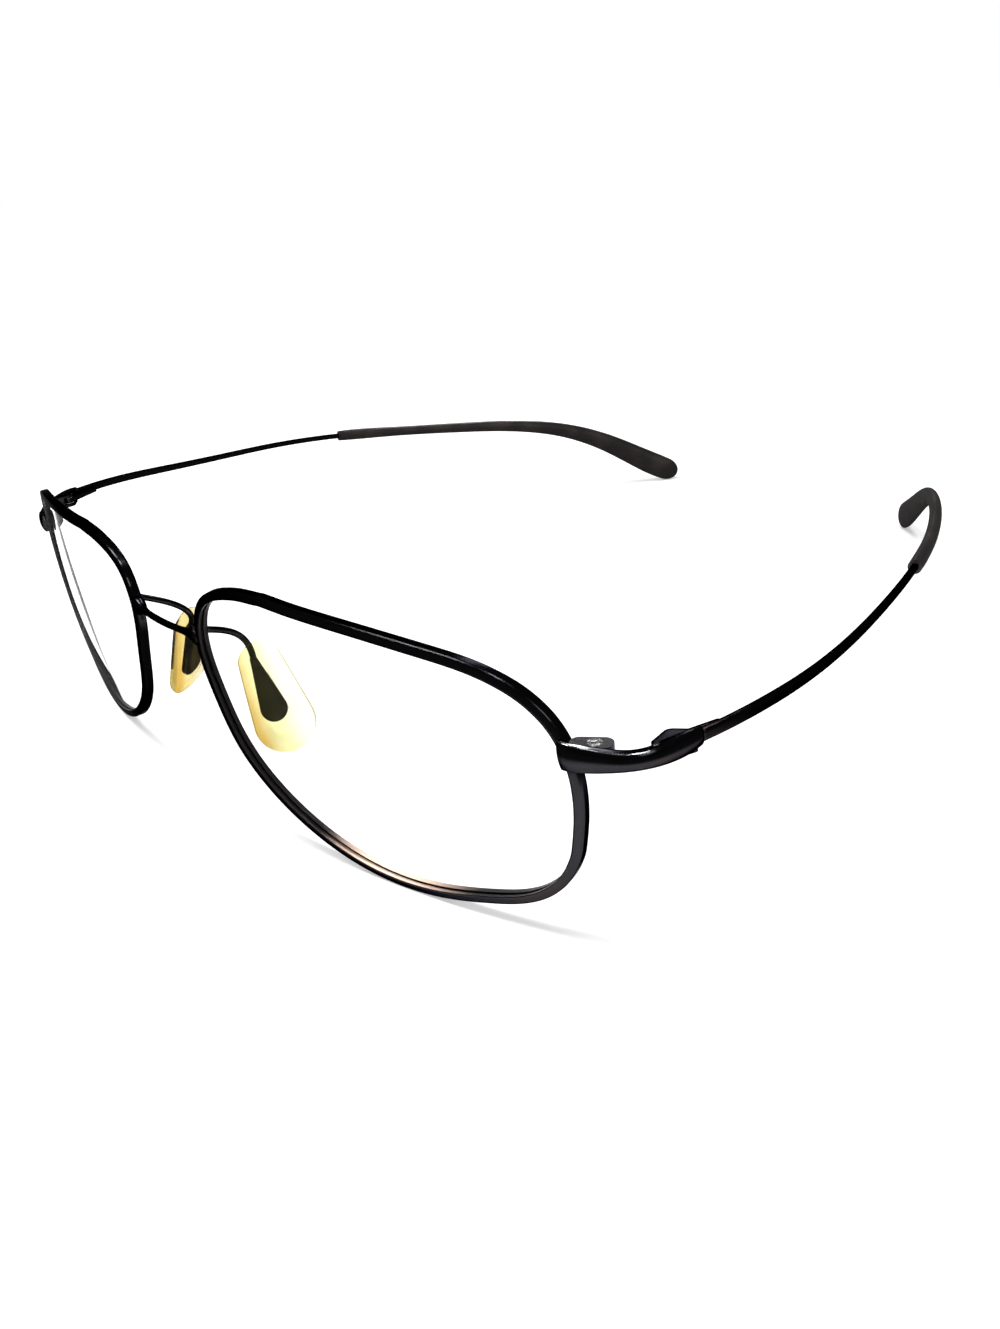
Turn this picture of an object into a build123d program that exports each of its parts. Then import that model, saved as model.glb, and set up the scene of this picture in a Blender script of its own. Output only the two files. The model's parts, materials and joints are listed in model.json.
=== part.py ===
from build123d import *
from build123d.topology import SkipClean
from math import cos, radians, sin
import os

# Rectangular full-rim metal eyeglasses with open, inward bowed temples.
# Millimetres. X runs across the face with the wearer's left at +X, the front faces -Y, the temples
# run to +Y, and Z is up. The glasses stand on their lower rims and temple tips. Every paired piece
# is modelled on the left side and mirrored.

# Front: boxed lens size, bridge, and how the front bends round the face
lens_width = 53.7
lens_height = 33.3
bridge_width = 16.6
lens_curve_radius = 137.5
face_form_angle = 11.4
pantoscopic_tilt = 0.8

# How far the lens's curve falls back at its edges, and where its temple-side edge comes to lie
lens_sag = (lens_width / 2) ** 2 / (2 * lens_curve_radius)
lens_reach = lens_width * cos(radians(face_form_angle))
lens_end_x = bridge_width / 2 + lens_reach + lens_sag * sin(radians(face_form_angle))
lens_end_y = lens_width * sin(radians(face_form_angle))

# Lens and rim sections. The lens sits a little back in its rim
lens_thickness = 1.5
lens_setback = 0.15
bevel_depth = 0.35
bevel_width = 0.5
groove_depth = 0.4
groove_width = 0.6
rim_wall = 1.1
rim_depth = 1.25
rim_edge_radius = 0.22
rim_slit = 0.14
lens_clearance = 0.03

# Lens edge as shares of half the width and half the height, from the top going towards the temple
lens_outline_shares = [
    (-0.379, 0.999), (0.010, 0.970), (0.383, 0.920), (0.687, 0.825), (0.889, 0.621),
    (0.986, 0.305), (0.994, -0.084), (0.932, -0.468), (0.777, -0.738), (0.532, -0.886),
    (0.234, -0.985), (-0.093, -0.976), (-0.408, -0.828), (-0.664, -0.587), (-0.830, -0.311),
    (-0.946, 0.121), (-0.996, 0.489), (-0.931, 0.796), (-0.716, 0.964),
]
outline_steps = 6
outline_sides = 8

# Bridge bar, its two feet soldered to the rims, and how far along it they reach
bridge_z = 26.25
bridge_bar_height = 0.95
bridge_bar_depth = 0.85
bridge_bow = 0.8
bridge_foot_height = 2.4
bridge_foot_depth = 1.7
bridge_end_x = bridge_width / 2
bridge_end_y = 2.8
bridge_flare_shares = [
    (0.0, 1.0), (0.09, 0.85), (0.16, 0.25), (0.24, 0.0), (0.5, 0.0),
    (0.76, 0.0), (0.84, 0.25), (0.91, 0.85), (1.0, 1.0),
]

# Endpiece casting: where its outer face starts from the lens's edge, how far its front end leans
# back towards its foot, and what it spans
endpiece_inset = 1.66
endpiece_setback = 0.885
endpiece_front_x = lens_end_x - endpiece_inset
endpiece_front_y = lens_end_y + endpiece_setback
endpiece_front_z = 24.37
endpiece_end_lean = 9.0
endpiece_span_x = 9.85
endpiece_span_y = 10.5
endpiece_rise = 0.75
endpiece_height = 3.3
endpiece_thickness = 1.25
endpiece_belly = 0.3
endpiece_corner_radius = 0.22

# Each station: across, along, rise, height and thickness, as shares of the five sizes above
endpiece_station_shares = [
    (0.000, 0.000, 0.00, 1.00, 0.62),
    (0.284, 0.057, 0.00, 0.88, 0.80),
    (0.548, 0.190, 0.02, 0.69, 1.00),
    (0.761, 0.343, 0.24, 0.61, 1.00),
    (0.904, 0.571, 0.47, 0.69, 0.95),
    (0.972, 0.790, 0.70, 0.75, 0.82),
    (1.000, 1.000, 0.88, 0.64, 0.74),
]

# Closing blocks that hold the rim's two ends together, placed from the endpiece's start, and their screw
block_shift_x = 1.4
block_shift_y = 2.0
block_x = endpiece_front_x + block_shift_x
block_y = endpiece_front_y + block_shift_y
block_z = 22.95
block_length = 2.4
block_width = 2.0
block_height = 2.55
block_angle = 35.0
block_screw_share = 0.62
closing_shank_radius = 0.5
closing_head_radius = 0.78
closing_head_height = 0.35
screw_clearance = 0.03
slot_width = 0.22
slot_depth = 0.16
slot_length = 2.4

# Hinge ears on the endpiece, placed from its rear end, the knuckle between them, and their screw
hinge_inset = 1.93
hinge_setback = 2.4
hinge_x = endpiece_front_x + endpiece_span_x - hinge_inset
hinge_y = endpiece_front_y + endpiece_span_y - hinge_setback
hinge_z = 24.75
ear_radius = 1.05
ear_height = 0.55
ear_web_radius = 0.5
ear_toe_inset = 0.3
ear_toe_reach = 2.1
ear_heel_spread = 1.18
ear_heel_reach = 1.5
knuckle_radius = 0.95
knuckle_height = 0.8
knuckle_pocket_clearance = 0.08
washer_thickness = 0.08
washer_radius = 0.9
axial_clearance = 0.02
pin_radius = 0.5
pin_clearance = 0.03
pin_head_radius = 0.72
pin_head_height = 0.28
pin_blind_depth = 0.35
leaf_length = 5.4
leaf_spread = 1.28
leaf_toe_radius = 0.45

# Temple: its butt end behind the endpiece, and what the centre line spans to the end of the tip
temple_inset = 0.4
temple_gap = 0.05
temple_x = endpiece_front_x + endpiece_span_x - temple_inset
temple_y = endpiece_front_y + endpiece_span_y + temple_gap
temple_z = 25.1
temple_bow = 42.3
temple_reach = 116.3
temple_drop = 23.8
blade_height = 1.3
blade_thickness = 0.85
wire_height = 0.9
wire_thickness = 0.85
blade_corner_radius = 0.22
temple_path_shares = [
    (0.000, 0.000, 0.000), (-0.020, 0.059, 0.008), (0.001, 0.201, 0.055), (0.070, 0.341, 0.084),
    (0.176, 0.477, 0.145), (0.316, 0.608, 0.238), (0.486, 0.735, 0.334), (0.682, 0.853, 0.508),
    (0.784, 0.905, 0.661), (0.888, 0.952, 0.840), (1.000, 1.000, 1.000),
]
# Each station: share of the path, then share of the way from blade size to wire size
blade_station_shares = [
    (0.00, 0.0), (0.06, 0.05), (0.14, 0.35), (0.22, 0.7), (0.30, 0.9), (0.41, 1.0), (0.50, 1.0),
    (0.60, 1.0), (0.70, 1.0), (0.79, 1.0), (0.87, 1.0), (0.93, 1.0),
]

# Plastic tip pushed over the temple's wire end
tip_neck_height = 1.9
tip_neck_thickness = 1.8
tip_paddle_height = 4.8
tip_paddle_thickness = 2.1
tip_bore_clearance = 0.03
# Each station: share of the path, then share of the way from neck size to paddle size
tip_station_shares = [
    (0.41, 0.0), (0.43, 0.06), (0.50, 0.0), (0.60, 0.03), (0.70, 0.14), (0.79, 0.36), (0.87, 0.68),
    (0.93, 0.95), (0.975, 1.0),
]
tip_end_start_share = 0.975
tip_end_shares = [0.3, 0.55, 0.75, 0.9, 0.98]

# Nose pad, the metal core moulded into it, and the arm that carries it, spread from the bridge's ends
pad_spread = 2.1
pad_x = bridge_end_x + pad_spread
pad_y = 9.6
pad_z = 15.5
pad_length = 15.0
pad_top_radius = 2.9
pad_foot_radius = 4.0
pad_thickness = 2.4
pad_crown_radius = 14.0
pad_edge_radius = 0.5
pad_lean_angle = 22.0
pad_splay_angle = 20.0
core_length = 9.0
core_foot_radius = 1.75
core_neck_radius = 0.5
core_thickness = 0.6
core_shift = (-0.65, 1.3)
arm_radius = 0.42
arm_root_spread = 0.3
arm_root = (bridge_end_x + arm_root_spread, 3.4, 27.05)
arm_bend_draw = 0.95
arm_bend = (bridge_end_x - arm_bend_draw, 7.3, 24.75)
arm_elbow_draw = 1.2
arm_elbow = (bridge_end_x - arm_elbow_draw, 8.9, 23.0)


def lens_place():
    """Puts a local frame, x to the temple and z to the front, at the middle of the left lens."""
    centre_x = lens_end_x - lens_width / 2 * cos(radians(face_form_angle))
    centre_y = lens_end_y / 2
    centre_z = lens_height / 2 + rim_wall - groove_depth
    return Pos(centre_x, centre_y, centre_z) * Rot(Z=face_form_angle) * Rot(X=90 + pantoscopic_tilt)


def lens_outline(outset):
    """The lens edge, moved outwards by a distance, as a flat face in the lens's own frame."""
    points = [(across * lens_width / 2, up * lens_height / 2) for across, up in lens_outline_shares]
    edge = Spline(*points, periodic=True)
    sides = []
    for side in range(outline_sides):
        moved = []
        for step in range(outline_steps + 1):
            share = (side + step / outline_steps) / outline_sides % 1
            along = edge % share
            moved.append((edge @ share) + Vector(-along.Y, along.X) * outset)
        ends = (edge % (side / outline_sides), edge % ((side + 1) / outline_sides % 1))
        sides.append(Spline(*moved, tangents=ends))
    return make_face(sides)


def lens_curved(face, thickness, setback=0):
    """A flat face given a thickness that follows the curve of the lens, or lies a little behind it."""
    prism = extrude(face, amount=lens_width / 2, both=True)
    middle = lens_curve_radius - setback
    shell = Sphere(middle + thickness / 2) - Sphere(middle - thickness / 2)
    # The spheres lie on their sides, so that neither pole falls on the lens
    with SkipClean():
        return prism & (Pos(0, 0, -lens_curve_radius) * Rot(X=90) * shell)


def outer_edges(blank, outline):
    """The long edges that run round the outside of a curved strip, front and back."""
    wire = outline.faces()[0].outer_wire()
    found = []
    for edge in blank.edges():
        middle = edge.center()
        away = wire.distance_to(Vertex(middle.X, middle.Y, 0))
        if away < rim_slit / 2 and edge.length > 2 * rim_depth:
            found.append(edge)
    return found


def make_rim():
    """Strip bent round the lens, rounded outside, grooved inside, slit between the blocks."""
    outline = lens_outline(rim_wall - groove_depth)
    groove = lens_curved(lens_outline(0), groove_width)
    slit = Box(2 * endpiece_span_x, 2 * endpiece_span_y, rim_slit)
    with SkipClean():
        blank = lens_curved(outline - lens_outline(-groove_depth), rim_depth)
        blank = fillet(outer_edges(blank, outline), radius=rim_edge_radius)
        return lens_place() * (blank - groove) - Pos(block_x, block_y, block_z + block_height / 2) * slit


def rim_space():
    """All the room that the rim and its lens take up, to trim the pieces soldered to the rim."""
    around = lens_curved(lens_outline(rim_wall - groove_depth), rim_depth)
    inside = lens_curved(lens_outline(-groove_depth), lens_thickness + 2 * lens_clearance, lens_setback)
    return lens_place() * (around + inside)


def make_lens():
    """Clear lens with a ridge round its edge that sits in the rim's groove."""
    edge = -groove_depth - lens_clearance
    with SkipClean():
        plate = lens_curved(lens_outline(edge), lens_thickness, lens_setback)
        ridge = lens_curved(lens_outline(edge + bevel_depth), bevel_width)
        return lens_place() * (plate + ridge)


def make_bridge(trim):
    """One bar between the rims, bowed forwards, with flared feet soldered to the rims."""
    middle_y = bridge_end_y - bridge_bow
    ends = [(-bridge_end_x, bridge_end_y), (0, middle_y), (bridge_end_x, bridge_end_y)]
    path = ThreePointArc(*[(x, y, bridge_z) for x, y in ends])
    sections = []
    for share, flare in bridge_flare_shares:
        height = bridge_bar_height + (bridge_foot_height - bridge_bar_height) * flare
        depth = bridge_bar_depth + (bridge_foot_depth - bridge_bar_depth) * flare
        plane = Plane(origin=path @ share, x_dir=(0, 0, 1), z_dir=path % share)
        sections.append(plane * Ellipse(height / 2, depth / 2))
    pieces = (loft(sections) - trim).solids()
    return max(pieces, key=lambda piece: piece.volume)


def arm_section(wall, height):
    """Section of the casting: flat inside, bellied outside, with rounded corners."""
    across = [endpiece_belly - wall / 2, wall / 2, wall / 2, endpiece_belly - wall / 2]
    corners = list(zip(across, [-height / 2, -height / 2, height / 2, height / 2]))
    belly = ThreePointArc(corners[3], (-wall / 2, 0), corners[0])
    section = make_face(Polyline(*corners).edges() + belly.edges())
    return fillet(section.vertices(), radius=endpiece_corner_radius)


def endpiece_arm():
    """The casting's curved arm, lofted through sections that follow its outer face."""
    spots = []
    for across, along, rise, height, thickness in endpiece_station_shares:
        x = endpiece_front_x + across * endpiece_span_x
        y = endpiece_front_y + along * endpiece_span_y
        spots.append((x, y, endpiece_front_z + rise * endpiece_rise))
    line = Spline(*[(x, y) for x, y, z in spots])
    sections = []
    for spot, (across, along, rise, height, thickness) in zip(spots, endpiece_station_shares):
        x, y, z = spot
        heading = line.tangent_at(line.param_at_point((x, y, 0)))
        inward = Vector(-heading.Y, heading.X)
        wall = thickness * endpiece_thickness
        plane = Plane(origin=Vector(x, y, z) + inward * (wall / 2), x_dir=inward, z_dir=heading)
        sections.append(plane * arm_section(wall, height * endpiece_height))
    return loft(sections)


def front_end_cut():
    """Slants the casting's front end, which leans back towards its foot."""
    top = Pos(endpiece_front_x, endpiece_front_y, endpiece_front_z + endpiece_height / 2)
    lean = top * Rot(Z=face_form_angle) * Rot(Y=-endpiece_end_lean)
    block = Box(endpiece_height, endpiece_span_y, 4 * endpiece_height)
    return lean * Pos(-endpiece_height / 2, 0, -endpiece_height) * block


def ear_gap():
    """Room between the two ears: the knuckle, a washer on each side, and their play."""
    return knuckle_height + 2 * washer_thickness + 4 * axial_clearance


def make_endpiece(trim):
    """Endpiece casting: an arm over the rim's ends, with two hinge ears inside its rear end."""
    ear = Pos(hinge_x, hinge_y) * Circle(ear_radius)
    toe = Pos(hinge_x - ear_toe_inset, hinge_y - ear_toe_reach) * Circle(ear_web_radius)
    heel = Pos(hinge_x + ear_heel_spread, hinge_y + ear_heel_reach) * Circle(ear_web_radius)
    web = make_hull([*ear.edges(), *toe.edges(), *heel.edges()])
    stack = ear_gap() + 2 * ear_height
    under = hinge_z - stack / 2
    body = endpiece_arm() + Pos(0, 0, under) * extrude(web, amount=stack) - front_end_cut()
    middle = Pos(hinge_x, hinge_y, hinge_z)
    pocket_radius = knuckle_radius + knuckle_pocket_clearance
    pocket_reach = ear_heel_reach + 2 * ear_web_radius
    body -= middle * Cylinder(pocket_radius, ear_gap())
    body -= middle * Pos(-ear_radius, 0) * Box(2 * ear_radius, 2 * pocket_radius, ear_gap())
    body -= middle * Pos(0, pocket_reach / 2) * Box(2 * pocket_radius, pocket_reach, ear_gap())
    hole_length = ear_height + ear_gap() + pin_blind_depth
    hole = Cylinder(pin_radius + pin_clearance, hole_length)
    seat = Cylinder(pin_head_radius + pin_clearance, pin_head_height)
    body -= Pos(hinge_x, hinge_y, under + hole_length / 2) * hole
    body -= Pos(hinge_x, hinge_y, under + pin_head_height / 2) * seat
    return body - trim


def block_place(height):
    return Pos(block_x, block_y, block_z + height) * Rot(Z=block_angle)


def make_block(base, hole_radius, trim):
    """One closing block: a round-ended lug soldered behind the endpiece to one end of the rim."""
    lug_height = (block_height - rim_slit) / 2
    plan = Pos(block_length / 2, 0) * SlotCenterToCenter(block_length, block_width)
    lug = extrude(plan, amount=lug_height)
    hole = Pos(block_length * block_screw_share, 0, lug_height / 2) * Cylinder(hole_radius, lug_height)
    return block_place(base) * (lug - hole) - trim - closing_head_room()


def closing_place(height):
    return block_place(height) * Pos(block_length * block_screw_share, 0)


def closing_head_room():
    """Seat that lets the closing screw's head into the upper block."""
    radius = closing_head_radius + screw_clearance
    return closing_place(block_height - closing_head_height / 2) * Cylinder(radius, closing_head_height)


def make_closing_screw():
    """Slotted screw down through both closing blocks, its head let into the upper one."""
    shank = Pos(0, 0, block_height / 2) * Cylinder(closing_shank_radius, block_height)
    head = Cylinder(closing_head_radius, closing_head_height)
    head = Pos(0, 0, block_height - closing_head_height / 2) * head
    slot = Pos(0, 0, block_height) * Box(slot_length, slot_width, 2 * slot_depth)
    return closing_place(0) * (shank + head - slot)


def make_hinge_screw():
    """Slotted screw up through the hinge, its head let into the lower ear."""
    under = hinge_z - ear_gap() / 2 - ear_height
    length = ear_height + ear_gap() + pin_blind_depth - axial_clearance
    shank = Pos(0, 0, length / 2) * Cylinder(pin_radius, length)
    head = Pos(0, 0, pin_head_height / 2) * Cylinder(pin_head_radius, pin_head_height)
    slot = Box(slot_length, slot_width, 2 * slot_depth)
    return Pos(hinge_x, hinge_y, under) * (shank + head - slot)


def make_washers():
    """Thin washers above and below the knuckle."""
    washer = Cylinder(washer_radius, washer_thickness)
    washer -= Cylinder(pin_radius + pin_clearance, washer_thickness)
    rise = knuckle_height / 2 + axial_clearance + washer_thickness / 2
    return [Pos(hinge_x, hinge_y, hinge_z + side * rise) * washer for side in (-1, 1)]


def temple_path():
    """Centre line of the temple from its butt to the end of the tip."""
    points = []
    for bow, reach, drop in temple_path_shares:
        x = temple_x - bow * temple_bow
        y = temple_y + reach * temple_reach
        points.append((x, y, temple_z - drop * temple_drop))
    return Spline(*points)


def upright_section(path, share, section):
    """Sets a section square across the path, its tall side upright."""
    heading = path.tangent_at(share * path.length, PositionMode.LENGTH)
    spot = path.position_at(share * path.length, PositionMode.LENGTH)
    plane = Plane(origin=spot, x_dir=(-heading.Y, heading.X, 0), z_dir=heading)
    return plane * section


def make_temple(grow):
    """Metal temple: a flat blade that tapers to the wire inside the tip, grown for the tip's bore."""
    path = temple_path()
    sections = []
    for share, taper in blade_station_shares:
        height = blade_height + (wire_height - blade_height) * taper + 2 * grow
        thickness = blade_thickness + (wire_thickness - blade_thickness) * taper + 2 * grow
        outline = RectangleRounded(thickness, height, blade_corner_radius + grow)
        sections.append(upright_section(path, share, outline))
    return loft(sections)


def make_tip():
    """Plastic sleeve from a slim neck to a flat rounded paddle, bored for the temple's wire."""
    path = temple_path()
    stations = [(share, spread, 1) for share, spread in tip_station_shares]
    for share in tip_end_shares:
        place = tip_end_start_share + share * (1 - tip_end_start_share)
        stations.append((place, 1, (1 - share ** 2) ** 0.5))
    sections = []
    for share, spread, size in stations:
        height = tip_neck_height + (tip_paddle_height - tip_neck_height) * spread
        thickness = tip_neck_thickness + (tip_paddle_thickness - tip_neck_thickness) * spread
        sections.append(upright_section(path, share, Ellipse(thickness * size / 2, height * size / 2)))
    return loft(sections) - make_temple(tip_bore_clearance)


def make_leaf(temple):
    """Knuckle and leaf in one piece, the leaf soldered along the inside of the temple blade."""
    knuckle = Pos(hinge_x, hinge_y) * Circle(knuckle_radius)
    toe = Pos(hinge_x + leaf_spread, hinge_y + leaf_length) * Circle(leaf_toe_radius)
    plan = make_hull([*knuckle.edges(), *toe.edges()])
    notch = Rectangle(2 * ear_radius, 2 * ear_radius)
    plan -= Pos(hinge_x + knuckle_radius + ear_radius, temple_y - ear_radius) * notch
    leaf = Pos(0, 0, hinge_z - knuckle_height / 2) * extrude(plan, amount=knuckle_height)
    pin_hole = Pos(hinge_x, hinge_y, hinge_z) * Cylinder(pin_radius + pin_clearance, knuckle_height)
    return leaf - pin_hole - temple


def pad_place():
    """Local frame of the left pad: x backwards, y up its length, z away from the nose."""
    lean = Rot(Y=-pad_lean_angle)
    return Pos(pad_x, pad_y, pad_z) * lean * Rot(Z=90 - pad_splay_angle) * Rot(X=90)


def drop_plan(length, neck_radius, foot_radius):
    """Outline of a drop, with its narrow end up."""
    neck = Pos(0, length / 2 - neck_radius) * Circle(neck_radius)
    foot = Pos(0, foot_radius - length / 2) * Circle(foot_radius)
    return make_hull([*foot.edges(), *neck.edges()])


def make_arm(trim):
    """Wire from the back of the rim, over and down to the neck of the core."""
    neck = (pad_place() * Pos(*core_shift) * Pos(0, core_length / 2 - core_neck_radius)).position
    path = Spline(arm_root, arm_bend, arm_elbow, neck)
    wire = sweep(Plane(origin=path @ 0, z_dir=path % 0) * Circle(arm_radius), path=path)
    return wire - trim


def make_core(arm):
    """Thin drop-shaped plate that the pad is moulded round."""
    plan = Pos(*core_shift) * drop_plan(core_length, core_neck_radius, core_foot_radius)
    return pad_place() * extrude(plan, amount=core_thickness / 2, both=True) - arm


def make_pad(core, arm):
    """Soft pad, domed towards the nose, moulded round the core and the end of its arm."""
    plan = drop_plan(pad_length, pad_top_radius, pad_foot_radius)
    blank = extrude(plan, amount=pad_thickness / 2, both=True)
    blank = fillet(blank.faces().filter_by(Axis.Z).edges(), radius=pad_edge_radius)
    dome = Pos(0, 0, pad_crown_radius - pad_thickness / 2) * Sphere(pad_crown_radius)
    return pad_place() * (blank & dome) - core - arm


def build_nodes():
    """Every piece of the glasses by its node name."""
    space = rim_space()
    pairs = {}
    pairs["rim"] = make_rim()
    pairs["lens"] = make_lens()
    pairs["endpiece"] = make_endpiece(space)
    around = space + pairs["endpiece"]
    upper_base = (block_height + rim_slit) / 2
    pairs["upper_block"] = make_block(upper_base, closing_shank_radius + screw_clearance, around)
    pairs["lower_block"] = make_block(0, closing_shank_radius, around)
    pairs["pad_arm"] = make_arm(space)
    pairs["pad_core"] = make_core(pairs["pad_arm"])
    pairs["nose_pad"] = make_pad(pairs["pad_core"], pairs["pad_arm"])
    pairs["temple"] = make_temple(0)
    pairs["hinge_leaf"] = make_leaf(pairs["temple"])
    pairs["temple_tip"] = make_tip()
    nodes = {"bridge": make_bridge(space + mirror(space, about=Plane.YZ))}
    for name, piece in pairs.items():
        nodes["left_" + name] = piece
        nodes["right_" + name] = mirror(piece, about=Plane.YZ)
    groups = {
        "closing_screws": [make_closing_screw()],
        "hinge_screws": [make_hinge_screw()],
        "hinge_washers": make_washers(),
    }
    for name, pieces in groups.items():
        both = pieces + [mirror(piece, about=Plane.YZ) for piece in pieces]
        nodes[name] = Compound([piece.solid() for piece in both])
    return nodes


def main():
    os.makedirs("parts", exist_ok=True)
    nodes = build_nodes()
    boxes = [piece.bounding_box() for piece in nodes.values()]
    front = min(box.min.Y for box in boxes)
    back = max(box.max.Y for box in boxes)
    base = min(box.min.Z for box in boxes)
    settle = Pos(0, -(front + back) / 2, -base)
    for name, piece in nodes.items():
        export_step(settle * piece, "parts/" + name + ".step")


main()
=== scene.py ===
import json
from math import radians, sqrt

import bmesh
import bpy
from mathutils import Matrix, Vector


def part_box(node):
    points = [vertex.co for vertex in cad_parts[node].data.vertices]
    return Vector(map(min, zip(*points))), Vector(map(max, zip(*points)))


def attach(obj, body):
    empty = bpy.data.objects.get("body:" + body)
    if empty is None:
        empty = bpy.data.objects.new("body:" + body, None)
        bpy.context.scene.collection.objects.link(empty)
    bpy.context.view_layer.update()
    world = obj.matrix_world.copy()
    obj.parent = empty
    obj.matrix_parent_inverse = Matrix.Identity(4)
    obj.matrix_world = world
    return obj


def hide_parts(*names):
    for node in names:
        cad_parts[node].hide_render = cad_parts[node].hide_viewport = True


# Rectangular full-rim metal eyeglasses, open, standing on their lower rims and temple tips.
# Metres, in the frame's own axes: X to the wearer's left, the front faces -Y, Z up.

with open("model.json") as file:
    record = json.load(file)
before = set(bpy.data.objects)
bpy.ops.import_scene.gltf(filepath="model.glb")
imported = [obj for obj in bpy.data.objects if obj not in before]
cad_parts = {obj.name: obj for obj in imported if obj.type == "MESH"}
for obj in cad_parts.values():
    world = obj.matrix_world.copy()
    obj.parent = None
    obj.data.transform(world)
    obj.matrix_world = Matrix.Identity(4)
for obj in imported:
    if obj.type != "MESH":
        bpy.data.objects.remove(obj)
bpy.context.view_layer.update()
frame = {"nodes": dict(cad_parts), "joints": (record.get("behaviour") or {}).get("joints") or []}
mm = 0.001

# The rims. Each is a drawn strip bent round its lens, plated in a near-black gunmetal and polished.
# The plating is darkest blue-black, browner in patches, with small rubbed specks and a fine grain.

sides = ("left", "right")
plating_blue = (0.025, 0.025, 0.028, 1)
plating_brown = (0.031, 0.027, 0.028, 1)
plating_rubbed = (0.055, 0.053, 0.054, 1)
plating_edge = (0.15, 0.15, 0.16, 1)
plating_softness = 0.42 * mm
plating_patch = 9 * mm
plating_patch_limits = (0.42, 0.62)
plating_speck = 0.35 * mm
plating_speck_limits = (0.66, 0.74)
plating_cloud = 3 * mm
plating_cloud_limits = (0.35, 0.75)
plating_roughness = (0.12, 0.20)
plating_grain = 0.02 * mm
plating_grain_height = 0.0004 * mm

# How fine the finest parts of a noise pattern are, and how often a rounded edge is sampled.
blotchy = 2.0
cloudy = 3.0
grainy = 4.0
edge_samples = 8

# The Mix node's colour sockets share their names with others, so they are found by number.
mix_share = 0
mix_first = 6
mix_second = 7
mix_colour = 2


class Signal:
    """One shader socket. Sums on it add Math nodes, and add() brings any other node."""

    def __init__(self, socket):
        self.socket = socket

    def add(self, kind, settings=None, inputs=None, output=0):
        """A node with its settings made first, then the values or links of its sockets."""
        node = self.socket.id_data.nodes.new(kind)
        for name, value in (settings or {}).items():
            setattr(node, name, value)
        for name, value in (inputs or {}).items():
            if isinstance(value, Signal):
                self.socket.id_data.links.new(value.socket, node.inputs[name])
            else:
                node.inputs[name].default_value = value
        return Signal(node.outputs[output]) if node.outputs else None

    def math(self, operation, first, second):
        """A Math node on two numbers, of which one may be plain."""
        return self.add("ShaderNodeMath", {"operation": operation}, {0: first, 1: second})

    def __add__(self, other):
        return self.math("ADD", self, other)

    def __sub__(self, other):
        return self.math("SUBTRACT", self, other)

    def __rsub__(self, other):
        return self.math("SUBTRACT", other, self)

    def __mul__(self, other):
        return self.math("MULTIPLY", self, other)

    def __neg__(self):
        return 0 - self

    __radd__ = __add__
    __rmul__ = __mul__

    def between(self, low, high):
        """0 where this is at low, 1 where it is at high, smooth on the way."""
        limits = {"Value": self, "From Min": low, "From Max": high}
        return self.add("ShaderNodeMapRange", {"interpolation_type": "SMOOTHSTEP"}, limits)

    def spread(self, low, high):
        """Low where this is 0, high where it is 1."""
        return low + (high - low) * self

    def blend(self, first, second):
        """The first colour where this is 0, the second where it is 1."""
        colours = {mix_share: self, mix_first: first, mix_second: second}
        return self.add("ShaderNodeMix", {"data_type": "RGBA"}, colours, output=mix_colour)

    def noise(self, size, detail=blotchy):
        """A soft random pattern with blotches of about this size."""
        return self.add("ShaderNodeTexNoise", None, {"Vector": self, "Scale": 1 / size, "Detail": detail})

    def axis(self, name):
        """How far along x, y or z this place is."""
        return self.add("ShaderNodeSeparateXYZ", None, {"Vector": self}, output=name.upper())

    def facing(self):
        """The direction that the surface faces."""
        return self.add("ShaderNodeNewGeometry", output="Normal")

    def rays(self, *kinds):
        """1 for light that is traced in one of these ways."""
        found = [self.add("ShaderNodeLightPath", output="Is " + kind + " Ray") for kind in kinds]
        return sum(found[1:], found[0])

    def soft_edges(self, radius):
        """Normals as they lie where the edges are polished round to this radius."""
        return self.add("ShaderNodeBevel", {"samples": edge_samples}, {"Radius": radius})

    def bump(self, height, **base):
        """Normals for a surface that rises by this pattern, in metres."""
        return self.add("ShaderNodeBump", None, {"Height": height, "Distance": 1.0, **base})

    def finish(self, **sockets):
        """Puts these values on the surface shader and ends the material."""
        inputs = {name.replace("_", " "): value for name, value in sockets.items()}
        surface = self.add("ShaderNodeBsdfPrincipled", None, inputs)
        self.add("ShaderNodeOutputMaterial", None, {"Surface": surface})


def start_nodes(owner):
    """Clears the nodes of a material or world, and gives the place that its patterns start from."""
    owner.use_nodes = True
    owner.node_tree.nodes.clear()
    return Signal(owner.node_tree.nodes.new("ShaderNodeTexCoord").outputs["Object"])


def new_finish(name):
    """An empty material, and the place on the piece that its patterns start from."""
    material = bpy.data.materials.new(name)
    return material, start_nodes(material)


def coat_node(name, material):
    """Gives a node of the frame its finish."""
    node = frame["nodes"][name]
    node.data.materials.clear()
    node.data.materials.append(material)


def gunmetal(name, highlights_and_normals=None):
    """The polished plating. Where a piece has painted highlights of its own, the given function paints them
    into its colour and changes its normals.
    """
    material, place = new_finish(name)
    patch = place.noise(plating_patch).between(*plating_patch_limits)
    rubbed = place.noise(plating_speck, grainy).between(*plating_speck_limits)
    clouded = place.noise(plating_cloud, cloudy).between(*plating_cloud_limits)
    colour = rubbed.blend(patch.blend(plating_blue, plating_brown), plating_rubbed)
    polished = place.soft_edges(plating_softness)
    if highlights_and_normals:
        colour, polished = highlights_and_normals(place, colour, polished)
    place.finish(
        Base_Color=colour,
        Metallic=1.0,
        Specular_Tint=plating_edge,
        Roughness=clouded.spread(*plating_roughness),
        Normal=place.bump(place.noise(plating_grain) * plating_grain_height, Normal=polished),
    )
    return material


frame_finish = gunmetal("gunmetal_plating")
for side in sides:
    coat_node(side + "_rim", frame_finish)

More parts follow.
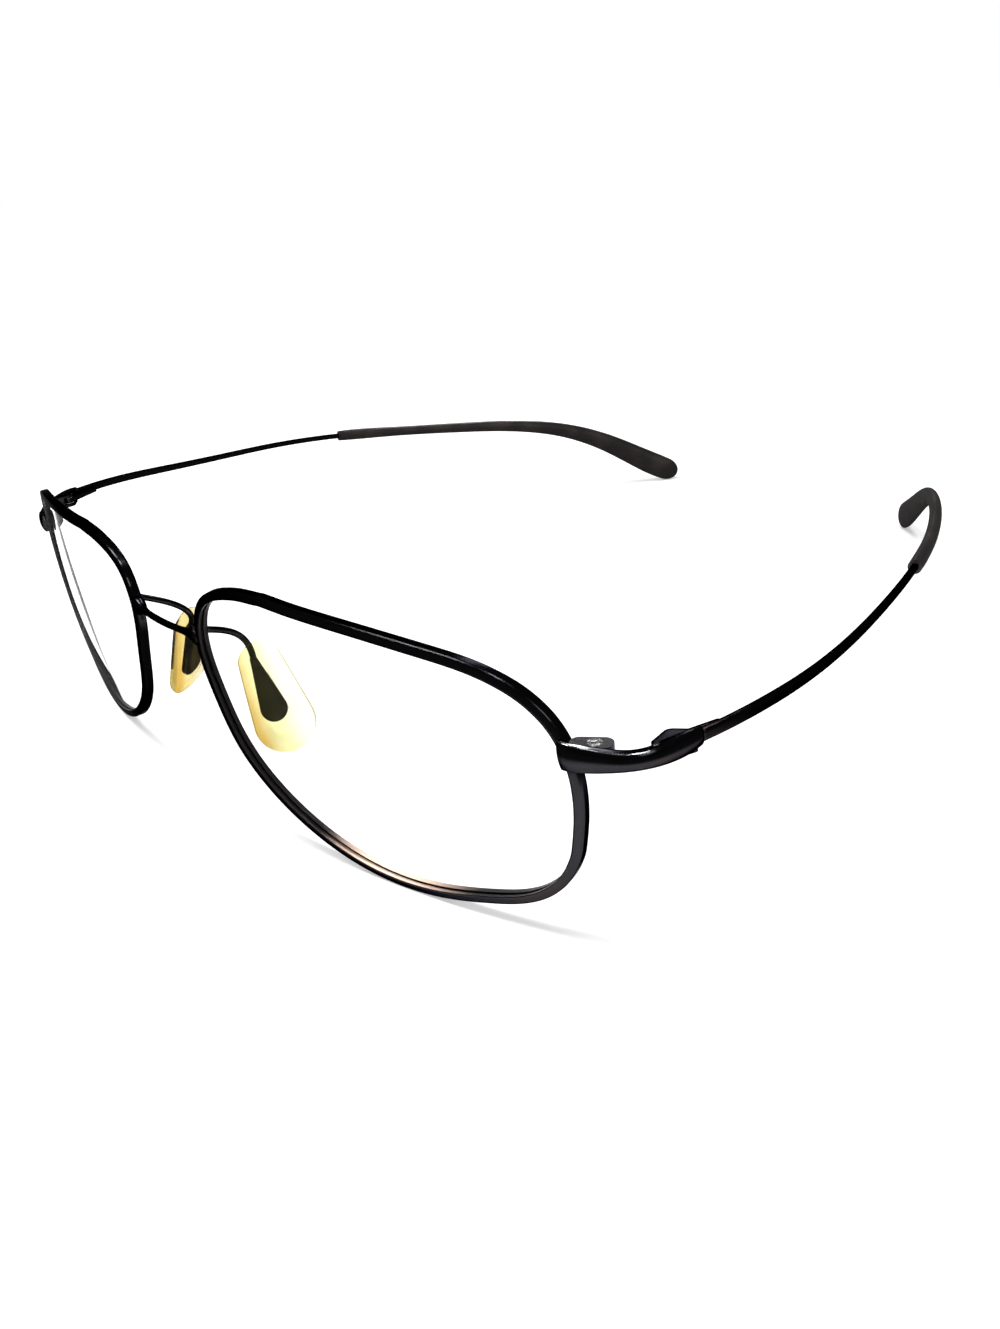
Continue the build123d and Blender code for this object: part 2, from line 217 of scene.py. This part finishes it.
# The bridge, one bowed bar of the rims' metal. It is brazed to both rims, then plated and
# polished with them.

coat_node("bridge", frame_finish)

# The endpieces, castings over the rims' ends with the hinge ears behind, plated with the front.
# Their front faces are left flat, and a painted highlight brightens the top and the upper edges there.

casting_painted_highlight = (0.20, 0.20, 0.205, 1)
casting_flat_from_hinge = 6.4 * mm
casting_highlight_from_hinge = 3.0 * mm
casting_fade = 0.8 * mm
casting_top_limits = (0.75, 0.95)
casting_shoulder_limits = (0.5, 0.7)
casting_level_limits = (0.97, 0.995)

hinge = Vector(next(joint["pos_m"] for joint in frame["joints"] if joint["name"] == "left_fold"))


def ahead_of_hinge(place, distance):
    """1 where the casting is further in front of the hinge than this."""
    limit = hinge.y - distance
    return 1 - place.axis("y").between(limit - casting_fade, limit)


def casting_highlights_and_normals(place, colour, polished):
    """The casting's colour, with a painted highlight on its top ahead of the hinge, and its flat normals
    there, from those of the plating.
    """
    as_cut = place.facing()
    upward = as_cut.axis("z")
    flat = ahead_of_hinge(place, casting_flat_from_hinge)
    highlight_reach = ahead_of_hinge(place, casting_highlight_from_hinge)
    shoulder = upward.between(*casting_shoulder_limits) * (1 - upward.between(*casting_level_limits))
    # Painted highlight: the top is made bright well ahead of the hinge, and the upper shoulder from a
    # little ahead of it.
    colour = (flat * upward.between(*casting_top_limits)).blend(colour, casting_painted_highlight)
    colour = (highlight_reach * shoulder).blend(colour, casting_painted_highlight)
    return colour, flat.blend(polished, as_cut)


casting_finish = gunmetal("gunmetal_casting", casting_highlights_and_normals)
for side in sides:
    coat_node(side + "_endpiece", casting_finish)

# The closing blocks under the endpieces, each in two halves that the rim's ends are brazed to.
# They are plated with the front but not polished, so they are duller and mottled.

brazed_tones = ((0.035, 0.034, 0.036, 1), (0.075, 0.070, 0.074, 1))
brazed_grain = 0.4 * mm
brazed_limits = (0.4, 0.65)
brazed_roughness = (0.38, 0.50)


def mottled(name, tones, noise, limits, roughness, metallic):
    """A finish in two tones, the second in blotches on the first and with its own roughness."""
    material, place = new_finish(name)
    blotches = place.noise(*noise).between(*limits)
    place.finish(
        Base_Color=blotches.blend(*tones),
        Metallic=metallic,
        Roughness=blotches.spread(*roughness),
    )
    return material


brazed_finish = mottled(
    "brazed_plating", brazed_tones, (brazed_grain, grainy), brazed_limits, brazed_roughness, metallic=1.0
)
for side in sides:
    coat_node(side + "_upper_block", brazed_finish)
    coat_node(side + "_lower_block", brazed_finish)

# The lenses, thin and clear, coated so that they hardly bend or mirror the light or throw a shadow.
# Their cut edges are matt, and painted shade makes them dark in the rims' grooves. A painted orange
# glow along the bottom of the left lens stands for light that runs inside it and comes out there.

lens_clear = (1.0, 1.0, 1.0, 1)
lens_edge_painted_shade = (0.016, 0.014, 0.015, 1)
lens_edge_painted_glow = (0.88, 0.64, 0.51, 1)
lens_index = 1.01
lens_face_limits = (0.55, 0.85)
lens_edge_roughness = 0.45
lens_glow_from_inner_end = 15.59 * mm
lens_glow_length = 24 * mm
lens_glow_fade = 11 * mm
lens_glow_height = 4.22 * mm
lens_glow_rise = 2.5 * mm


def clear_lens():
    """The faces let light through. The edge is an opaque matt band of painted shade, with a painted orange
    glow along one stretch.
    """
    material, place = new_finish("clear_lens_polished")
    forward = place.facing().axis("y")
    edge = 1 - (forward * forward).between(*lens_face_limits)
    low_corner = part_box("left_lens")[0]
    start = low_corner.x + lens_glow_from_inner_end
    end = start + lens_glow_length
    top = low_corner.z + lens_glow_height
    begun = place.axis("x").between(start, start + lens_glow_fade)
    ended = place.axis("x").between(end - lens_glow_fade, end)
    risen = place.axis("z").between(top - lens_glow_rise, top)
    warm = begun * (1 - ended) * (1 - risen)
    # The edge band is painted dark as shade, and orange as a painted glow in its warm stretch.
    place.finish(
        Base_Color=edge.blend(lens_clear, warm.blend(lens_edge_painted_shade, lens_edge_painted_glow)),
        Metallic=edge,
        Roughness=edge * lens_edge_roughness,
        IOR=lens_index,
        Transmission_Weight=1.0,
    )
    return material


lens_finish = clear_lens()
for side in sides:
    coat_node(side + "_lens", lens_finish)
    frame["nodes"][side + "_lens"].visible_shadow = False

# The screws that close the blocks and the ones that the hinges turn on, all turned from steel.
# Their dark plating is worn through to the bright steel in patches.

screw_tones = ((0.22, 0.22, 0.225, 1), (0.75, 0.74, 0.72, 1))
screw_patch = 0.5 * mm
screw_limits = (0.5, 0.7)
screw_roughness = (0.22, 0.42)

screw_finish = mottled(
    "screw_steel", screw_tones, (screw_patch, grainy), screw_limits, screw_roughness, metallic=1.0
)
coat_node("closing_screws", screw_finish)
coat_node("hinge_screws", screw_finish)

# The pad arms, gunmetal wires bent to shape and brazed to the backs of the rims, and the
# drop-shaped cores on their ends, of darkened metal, which show through the pads.

core_tones = ((0.006, 0.005, 0.003, 1), (0.014, 0.013, 0.007, 1))
core_patch = 2.5 * mm
core_limits = (0.4, 0.65)
core_roughness = (0.42, 0.57)
core_metallic = 0.6

core_finish = mottled(
    "pad_core_metal", core_tones, (core_patch, cloudy), core_limits, core_roughness, core_metallic
)
for side in sides:
    coat_node(side + "_pad_arm", frame_finish)
    coat_node(side + "_pad_core", core_finish)

# The nose pads, soft clear plastic moulded round the cores and yellowed with wear. They are amber
# along the front edge and all over the right one, and painted shade darkens the faces turned to the
# front into an outline. Domed towards the nose, flat behind, edges rounded.

quarter_turn = radians(90)
pad_from_hinge = Vector((-57.32, -10.0, -9.25)) * mm
pad_lean = radians(22)
pad_splay = radians(20)
pad_length = 15.0 * mm
pad_top_radius = 2.9 * mm
pad_foot_radius = 4.0 * mm
pad_thickness = 2.4 * mm
pad_crown_radius = 14.0 * mm
pad_points = 48
pad_rings = (0.25 * mm, 0.45 * mm, 0.8 * mm, 0.9 * mm)
pad_edge_share = 0.3
pad_smoothing = 2
pad_clear = (0.86, 0.86, 0.71, 1)
pad_pale = (0.76, 0.75, 0.38, 1)
pad_amber = (0.50, 0.30, 0.05, 1)
pad_painted_shade = (0.22, 0.17, 0.05, 1)
pad_painted_shade_limits = (0.6, 0.95)
pad_cloud = 3.0 * mm
pad_cloud_limits = (0.35, 0.7)
pad_cloud_share = 0.1
pad_warm_depth = 2.8 * mm
pad_warm_share = 0.9
pad_side_fade = 1.0 * mm
pad_right_amber_share = 0.45
pad_clear_from = 3.0 * mm
pad_clear_to = 6.0 * mm
pad_roughness = (0.10, 0.16)
pad_index = 1.12

pad_place = (
    Matrix.Translation(hinge + pad_from_hinge)
    @ Matrix.Rotation(-pad_lean, 4, "Y")
    @ Matrix.Rotation(quarter_turn - pad_splay, 4, "Z")
    @ Matrix.Rotation(quarter_turn, 4, "X")
)


def drop_face(shape):
    """A flat drop: a circle whose upper part is drawn in and moved up, which leaves straight flanks."""
    circle = bmesh.ops.create_circle(shape, cap_ends=True, radius=pad_foot_radius, segments=pad_points)
    outline = circle["verts"]
    reach = pad_length - pad_foot_radius - pad_top_radius
    flank_start = (pad_foot_radius - pad_top_radius) / reach * pad_foot_radius
    upper = [vert for vert in outline if vert.co.y > flank_start]
    shrink = pad_top_radius / pad_foot_radius
    bmesh.ops.scale(shape, vec=(shrink, shrink, 1), verts=upper)
    bmesh.ops.translate(shape, vec=(0, reach, 0), verts=upper)
    bmesh.ops.translate(shape, vec=(0, pad_foot_radius - pad_length / 2, 0), verts=outline)


def lay_on_dome(shape, edges):
    """Sets the heights: flat behind, domed in front, and both faces drawn together at the edge."""
    for vert in shape.verts:
        fall = pad_crown_radius - sqrt(pad_crown_radius ** 2 - vert.co.x ** 2 - vert.co.y ** 2)
        height = pad_thickness / 2 if vert.co.z > 0 else fall - pad_thickness / 2
        if vert in edges:
            height = fall / 2 + (height - fall / 2) * pad_edge_share
        vert.co.z = height


def new_object(name, data):
    """An object at the origin of the scene."""
    thing = bpy.data.objects.new(name, data)
    bpy.context.scene.collection.objects.link(thing)
    return thing


def mesh_object(name, shape):
    """The object that a finished bmesh makes."""
    mesh = bpy.data.meshes.new(name)
    shape.to_mesh(mesh)
    shape.free()
    return new_object(name, mesh)


def nose_pad(name, flip):
    """The pad on one side, from a drop with rings set into both its faces."""
    shape = bmesh.new()
    drop_face(shape)
    back = shape.faces[:]
    grown = bmesh.ops.extrude_face_region(shape, geom=back, use_keep_orig=True)["geom"]
    front = [item for item in grown if isinstance(item, bmesh.types.BMFace)]
    bmesh.ops.translate(shape, vec=(0, 0, pad_thickness / 2), verts=back[0].verts[:])
    bmesh.ops.translate(shape, vec=(0, 0, -pad_thickness / 2), verts=front[0].verts[:])
    edges = set(shape.verts)
    for ring in pad_rings:
        bmesh.ops.inset_region(shape, faces=back, thickness=ring, use_even_offset=True)
        bmesh.ops.inset_region(shape, faces=front, thickness=ring, use_even_offset=True)
    bmesh.ops.poke(shape, faces=back + front)
    lay_on_dome(shape, edges)
    bmesh.ops.transform(shape, matrix=Matrix.Scale(flip, 4, (1, 0, 0)) @ pad_place, verts=shape.verts)
    bmesh.ops.recalc_face_normals(shape, faces=shape.faces)
    for face in shape.faces:
        face.smooth = True
    pad = mesh_object(name, shape)
    rounded = pad.modifiers.new("rounded", "SUBSURF")
    rounded.levels = pad_smoothing
    rounded.render_levels = pad_smoothing
    return pad


def pad_plastic():
    """Clear plastic, amber at its front edge and on the right pad, with painted shade as a dark outline on
    the faces turned to the front.
    """
    material, place = new_finish("pad_yellowed_plastic")
    front_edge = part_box("left_nose_pad")[0].y
    cloud = place.noise(pad_cloud).between(*pad_cloud_limits)
    warm = 1 - place.axis("y").between(front_edge, front_edge + pad_warm_depth)
    on_right_pad = 1 - place.axis("x").between(-pad_side_fade, pad_side_fade)
    amber = pad_cloud_share * cloud + pad_warm_share * warm + pad_right_amber_share * on_right_pad
    clear = place.axis("y").between(front_edge + pad_clear_from, front_edge + pad_clear_to)
    body = amber.blend(clear.blend(pad_pale, pad_clear), pad_amber)
    # Painted shade: the faces turned to the front are darkened into an outline.
    outline = (-place.facing().axis("y")).between(*pad_painted_shade_limits)
    place.finish(
        Base_Color=outline.blend(body, pad_painted_shade),
        Roughness=cloud.spread(*pad_roughness),
        IOR=pad_index,
        Transmission_Weight=1.0,
    )
    return material


pad_finish = pad_plastic()
for side, flip in (("left", 1), ("right", -1)):
    pad = nose_pad(side + "_pad_moulding", flip)
    pad.data.materials.append(pad_finish)
    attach(pad, "front")
    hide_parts(side + "_nose_pad")

# The temples, flat gunmetal blades that taper to a wire, with the hinge leaf brazed inside their
# front ends. White nylon washers, grubby in places, lie above and below the knuckle.

washer_tones = ((0.62, 0.61, 0.58, 1), (0.40, 0.39, 0.37, 1))
washer_patch = 0.4 * mm
washer_limits = (0.45, 0.7)
washer_roughness = (0.5, 0.7)

washer_finish = mottled(
    "washer_nylon_worn", washer_tones, (washer_patch, cloudy), washer_limits, washer_roughness, metallic=0.0
)
coat_node("hinge_washers", washer_finish)
for side in sides:
    coat_node(side + "_hinge_leaf", frame_finish)
    coat_node(side + "_temple", frame_finish)

# The temple tips, brown-black plastic pushed over the wire ends, half gloss, with faint moulding
# clouds and a fine grain.

tip_black = (0.014, 0.011, 0.011, 1)
tip_brown = (0.026, 0.018, 0.017, 1)
tip_cloud = 7 * mm
tip_cloud_limits = (0.38, 0.66)
tip_roughness = (0.30, 0.44)
tip_grain = 0.12 * mm
tip_grain_height = 0.0015 * mm


def tip_plastic():
    """Black plastic that is browner and duller in its clouds, with the grain as a bump."""
    material, place = new_finish("tip_plastic_black")
    cloud = place.noise(tip_cloud, cloudy).between(*tip_cloud_limits)
    place.finish(
        Base_Color=cloud.blend(tip_black, tip_brown),
        Roughness=cloud.spread(*tip_roughness),
        Normal=place.bump(place.noise(tip_grain) * tip_grain_height),
    )
    return material


tip_finish = tip_plastic()
for side in sides:
    coat_node(side + "_temple_tip", tip_finish)

# The floor, one white sheet. To the camera and through the lenses it glows, less near the glasses,
# so that their shadow shows. In the metal it is dark, but for a lit patch under the left hinge.

floor_size = 3.0
floor_roughness = 0.7
floor_white = (0.80, 0.80, 0.80, 1)
floor_dim = (0.08, 0.08, 0.08, 1)
glow_near = (0.32, 0.32, 0.32, 1)
glow_far = (0.85, 0.85, 0.85, 1)
glow_near_reach = 0.15
glow_far_reach = 0.8
lit_glow = (0.62, 0.62, 0.62, 1)
lit_from_hinge = Vector((-3.72, -2.54, 0)) * mm
lit_inner = 30 * mm
lit_outer = 55 * mm
unlit = (0, 0, 0, 1)

sheet = bmesh.new()
bmesh.ops.create_grid(sheet, x_segments=1, y_segments=1, size=floor_size / 2)
floor = mesh_object("floor", sheet)

floor_finish, ground = new_finish("floor_white")
lit_middle = hinge + lit_from_hinge
aside = ground.axis("x") - lit_middle.x
along = ground.axis("y") - lit_middle.y
outward = aside * aside + along * along
lit = 1 - outward.between(lit_inner ** 2, lit_outer ** 2)
seen_glow = outward.between(glow_near_reach ** 2, glow_far_reach ** 2).blend(glow_near, glow_far)
mirrored = ground.rays("Glossy") * ground.rays("Reflection")
mirrored_glow = (mirrored * lit).blend(unlit, lit_glow)
ground.finish(
    Base_Color=(mirrored * (1 - lit)).blend(floor_white, floor_dim),
    Roughness=floor_roughness,
    Specular_IOR_Level=0.0,
    Emission_Color=ground.rays("Camera", "Transmission").blend(mirrored_glow, seen_glow),
    Emission_Strength=1.0,
)
floor.data.materials.append(floor_finish)

# The background, white to the camera and through the lenses, and dark in the metal.
# Everything else gets a soft grey light from it.

sky_seen = (1.0, 1.0, 1.0, 1)
sky_mirrored = (0.07, 0.07, 0.075, 1)
sky_light = (0.28, 0.285, 0.29, 1)

world = bpy.data.worlds.new("studio")
sky = start_nodes(world)
unseen = (sky.rays("Glossy") * sky.rays("Reflection")).blend(sky_light, sky_mirrored)
sky_colour = sky.rays("Camera", "Transmission").blend(unseen, sky_seen)
background = sky.add("ShaderNodeBackground", None, {"Color": sky_colour})
sky.add("ShaderNodeOutputWorld", None, {"Surface": background})
bpy.context.scene.world = world

# The lamps, four soft panels above the glasses, each turned to the middle of the floor. A line
# gives the place where one hangs, its width and length, and its power in watts.

lamps = {
    "lamp_over": ((-0.165, -0.172, 0.569), (0.14, 0.26), 2.6),
    "lamp_high": ((0.115, -0.100, 0.623), (0.10, 0.10), 1.2),
    "lamp_side": ((0.65, -0.35, 0.45), (0.25, 0.25), 1.5),
    "lamp_low": ((-0.214, 0.336, 0.388), (0.08, 0.08), 0.55),
}
for name, (spot, size, power) in lamps.items():
    light = bpy.data.lights.new(name, "AREA")
    light.shape = "RECTANGLE"
    light.size, light.size_y = size
    light.energy = power
    lamp = new_object(name, light)
    lamp.location = spot
    lamp.rotation_euler = (-Vector(spot)).to_track_quat("-Z", "Y").to_euler()
    lamp.visible_camera = False

# The camera, close in front of the wearer's left side and above the hinge, rolled a little. Its wide
# lens makes the near hinge large beside the far one.

camera_from_hinge = Vector((59.28, -71.36, 57.68)) * mm
camera_azimuth = radians(49.40)
camera_elevation = radians(27.259)
camera_roll = radians(6.549)
camera_lens = 30.49
camera_near = 1 * mm

view = bpy.data.cameras.new("camera")
view.lens = camera_lens
view.clip_start = camera_near
camera = new_object("camera", view)
camera.matrix_world = (
    Matrix.Translation(hinge + camera_from_hinge)
    @ Matrix.Rotation(camera_azimuth, 4, "Z")
    @ Matrix.Rotation(quarter_turn - camera_elevation, 4, "X")
    @ Matrix.Rotation(-camera_roll, 4, "Z")
)
bpy.context.scene.camera = camera
bpy.context.scene.view_settings.view_transform = "Standard"
